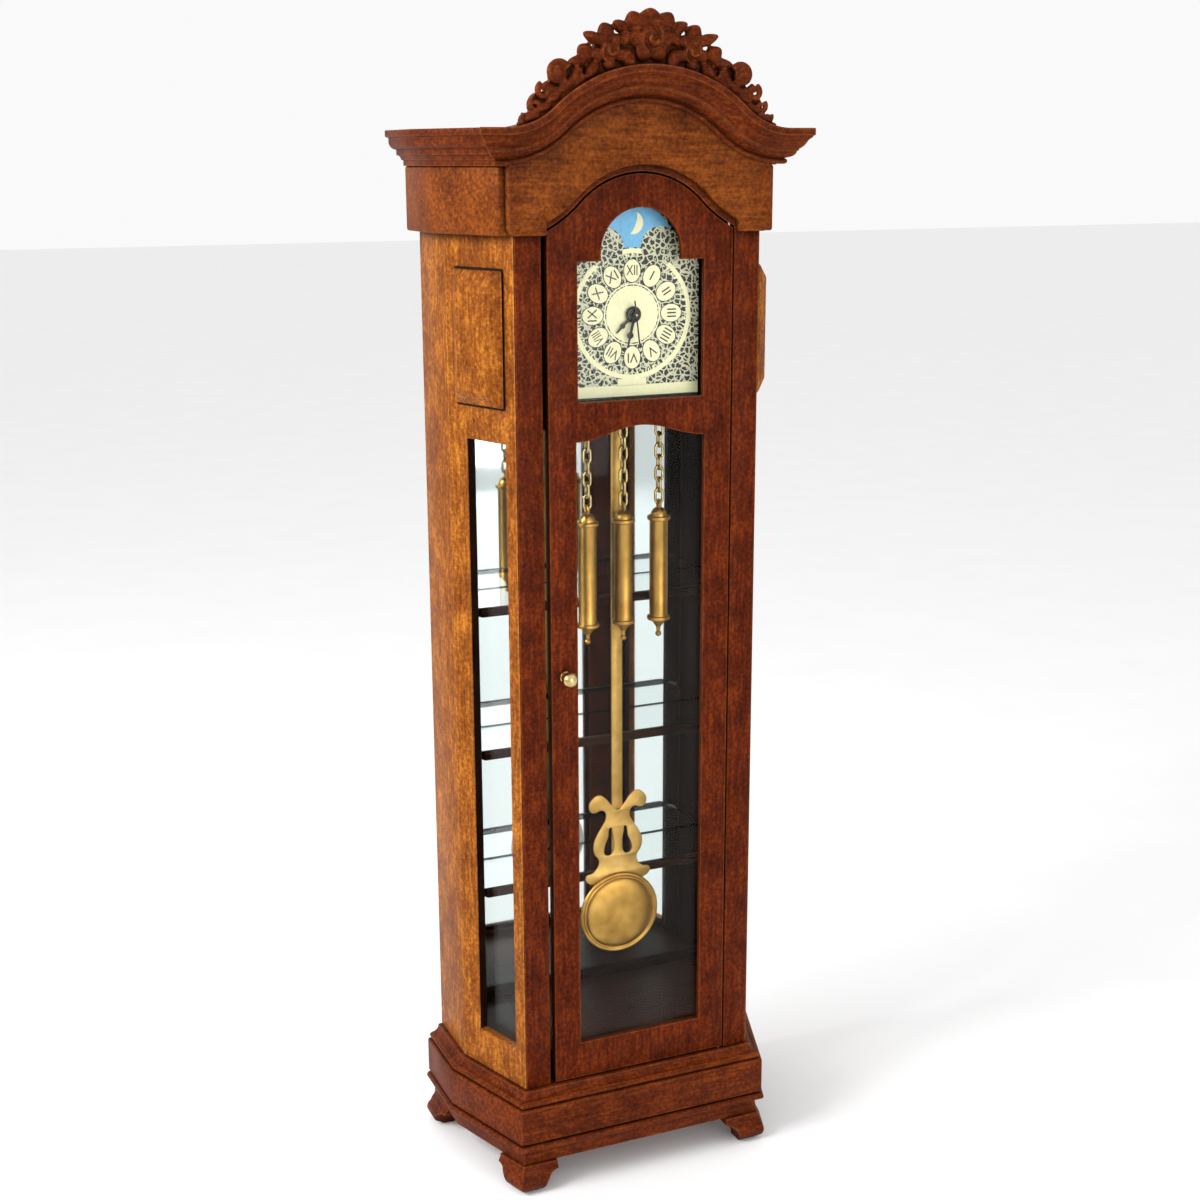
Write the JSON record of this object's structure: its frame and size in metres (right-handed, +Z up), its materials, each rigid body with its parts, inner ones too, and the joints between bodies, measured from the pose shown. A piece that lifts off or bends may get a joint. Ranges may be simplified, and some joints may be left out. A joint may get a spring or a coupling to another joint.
{
  "type": "longcase clock",
  "caption": "Doll's-house longcase clock: glazed canted case, arched hood and crest, hinged door, turning hands, hanging weights and a swinging pendulum.",
  "frame": {"origin": "on the floor under the middle of the outline", "axes": "+Z up, the door and dial face -Y, +X to the right as seen from the front"},
  "size_m": [0.0562, 0.03, 0.1706],
  "materials": {
    "wood": "reddish brown stain, satin",
    "light_wood": "golden brown stain, satin",
    "dark_wood": "dark brown stain, matt",
    "brass": "polished, lightly aged",
    "clear": "clear sheet",
    "mirror": "silvered",
    "dial": "printed card in cream, black and silver",
    "black": "black, satin",
    "steel": "plain",
    "movement_plastic": "moulded, matt",
    "wheel_plastic": "moulded, satin",
    "winding": "lacquered copper wire"
  },
  "bodies": {
    "case": {"feet_front": "wood", "feet_rear": "wood", "skirt": "wood", "plinth": "wood", "base_moulding": "wood", "stile_left": "wood", "stile_right": "wood", "door_head": "wood", "frieze": "wood", "side_cornices": "wood", "front_cornice": "wood", "crest": "wood", "shelf_bars": "wood", "side_frame_left": "light_wood", "side_frame_right": "light_wood", "side_panels": "light_wood", "return_boards": "light_wood", "hood_blocks": "light_wood", "floor_block": "dark_wood", "back_board": "dark_wood", "mirror_rail": "dark_wood", "seat_board": "dark_wood", "top_board": "dark_wood", "dial_board": "dark_wood", "side_panes": "clear", "shelves": "clear", "back_mirror": "mirror", "hanging_pins": "brass", "dial_plate": "dial", "battery": "steel", "movement_case": "movement_plastic", "movement_cover": "movement_plastic", "coil": "winding"},
    "door": {"door_frame": "wood", "door_pane": "clear", "dial_pane": "clear", "door_knob": "brass", "hinge_pins": "steel"},
    "minute": {"cannon_pinion": "brass", "minute_hand": "black", "hand_nut": "brass"},
    "hour": {"hour_wheel": "wheel_plastic", "hour_hand": "black"},
    "motion": {"motion_wheel": "wheel_plastic"},
    "setting": {"setting_knob": "movement_plastic"},
    "second": {"second_wheel": "brass", "second_hand": "black"},
    "third": {"third_wheel": "wheel_plastic"},
    "centre": {"centre_wheel": "brass"},
    "intermediate": {"intermediate_wheel": "wheel_plastic"},
    "rotor": {"rotor": "wheel_plastic"},
    "weight_left": {"chain_left": "brass", "weight_left": "brass"},
    "weight_middle": {"chain_middle": "brass", "weight_middle": "brass"},
    "weight_right": {"chain_right": "brass", "weight_right": "brass"},
    "pendulum": {"pendulum_rod": "brass", "pendulum_lyre": "brass", "pendulum_bob": "brass"}
  },
  "joints": [
    {"name": "door_swing", "type": "hinge", "parent": "case", "child": "door", "pos_m": [0.0138, -0.00995, 0.08], "axis": [0, 0, 1], "range_deg": [0, 90]},
    {"name": "minute_turn", "type": "hinge", "parent": "case", "child": "minute", "pos_m": [0.00028, 0, 0.1302], "axis": [0, 1, 0], "continuous": true},
    {"name": "hour_turn", "type": "hinge", "parent": "case", "child": "hour", "pos_m": [0.00028, 0, 0.1302], "axis": [0, 1, 0], "continuous": true},
    {"name": "motion_turn", "type": "hinge", "parent": "case", "child": "motion", "pos_m": [0.00282, 0, 0.12765], "axis": [0, 1, 0], "continuous": true},
    {"name": "setting_turn", "type": "hinge", "parent": "case", "child": "setting", "pos_m": [0.00537, 0, 0.12511], "axis": [0, 1, 0], "continuous": true},
    {"name": "second_turn", "type": "hinge", "parent": "case", "child": "second", "pos_m": [0.00028, 0, 0.1302], "axis": [0, 1, 0], "continuous": true},
    {"name": "third_turn", "type": "hinge", "parent": "case", "child": "third", "pos_m": [0.00433, 0, 0.13168], "axis": [0, 1, 0], "continuous": true},
    {"name": "centre_turn", "type": "hinge", "parent": "case", "child": "centre", "pos_m": [0.00028, 0, 0.1302], "axis": [0, 1, 0], "continuous": true},
    {"name": "intermediate_turn", "type": "hinge", "parent": "case", "child": "intermediate", "pos_m": [-0.00116, 0, 0.13415], "axis": [0, 1, 0], "continuous": true},
    {"name": "rotor_turn", "type": "hinge", "parent": "case", "child": "rotor", "pos_m": [-0.00166, 0, 0.13698], "axis": [0, 1, 0], "continuous": true},
    {"name": "left_weight_swing", "type": "hinge", "parent": "case", "child": "weight_left", "pos_m": [-0.00543, -0.004, 0.1141], "axis": [0, 1, 0], "range_deg": [-1.5, 1.5]},
    {"name": "middle_weight_swing", "type": "hinge", "parent": "case", "child": "weight_middle", "pos_m": [0.00028, -0.004, 0.1141], "axis": [0, 1, 0], "range_deg": [-1.5, 1.5]},
    {"name": "right_weight_swing", "type": "hinge", "parent": "case", "child": "weight_right", "pos_m": [0.00598, -0.004, 0.1141], "axis": [0, 1, 0], "range_deg": [-1.5, 1.5]},
    {"name": "pendulum_swing", "type": "hinge", "parent": "case", "child": "pendulum", "pos_m": [0.00028, -0.0015, 0.1138], "axis": [0, 1, 0], "range_deg": [-8, 8]}
  ],
  "couplings": [
    {"joint": "hour_turn", "follows": "minute_turn", "ratio": 0.083333},
    {"joint": "motion_turn", "follows": "minute_turn", "ratio": -0.33333},
    {"joint": "setting_turn", "follows": "minute_turn", "ratio": 1},
    {"joint": "third_turn", "follows": "second_turn", "ratio": -0.13333},
    {"joint": "centre_turn", "follows": "second_turn", "ratio": 0.016667},
    {"joint": "intermediate_turn", "follows": "second_turn", "ratio": -6},
    {"joint": "rotor_turn", "follows": "second_turn", "ratio": 30}
  ]
}
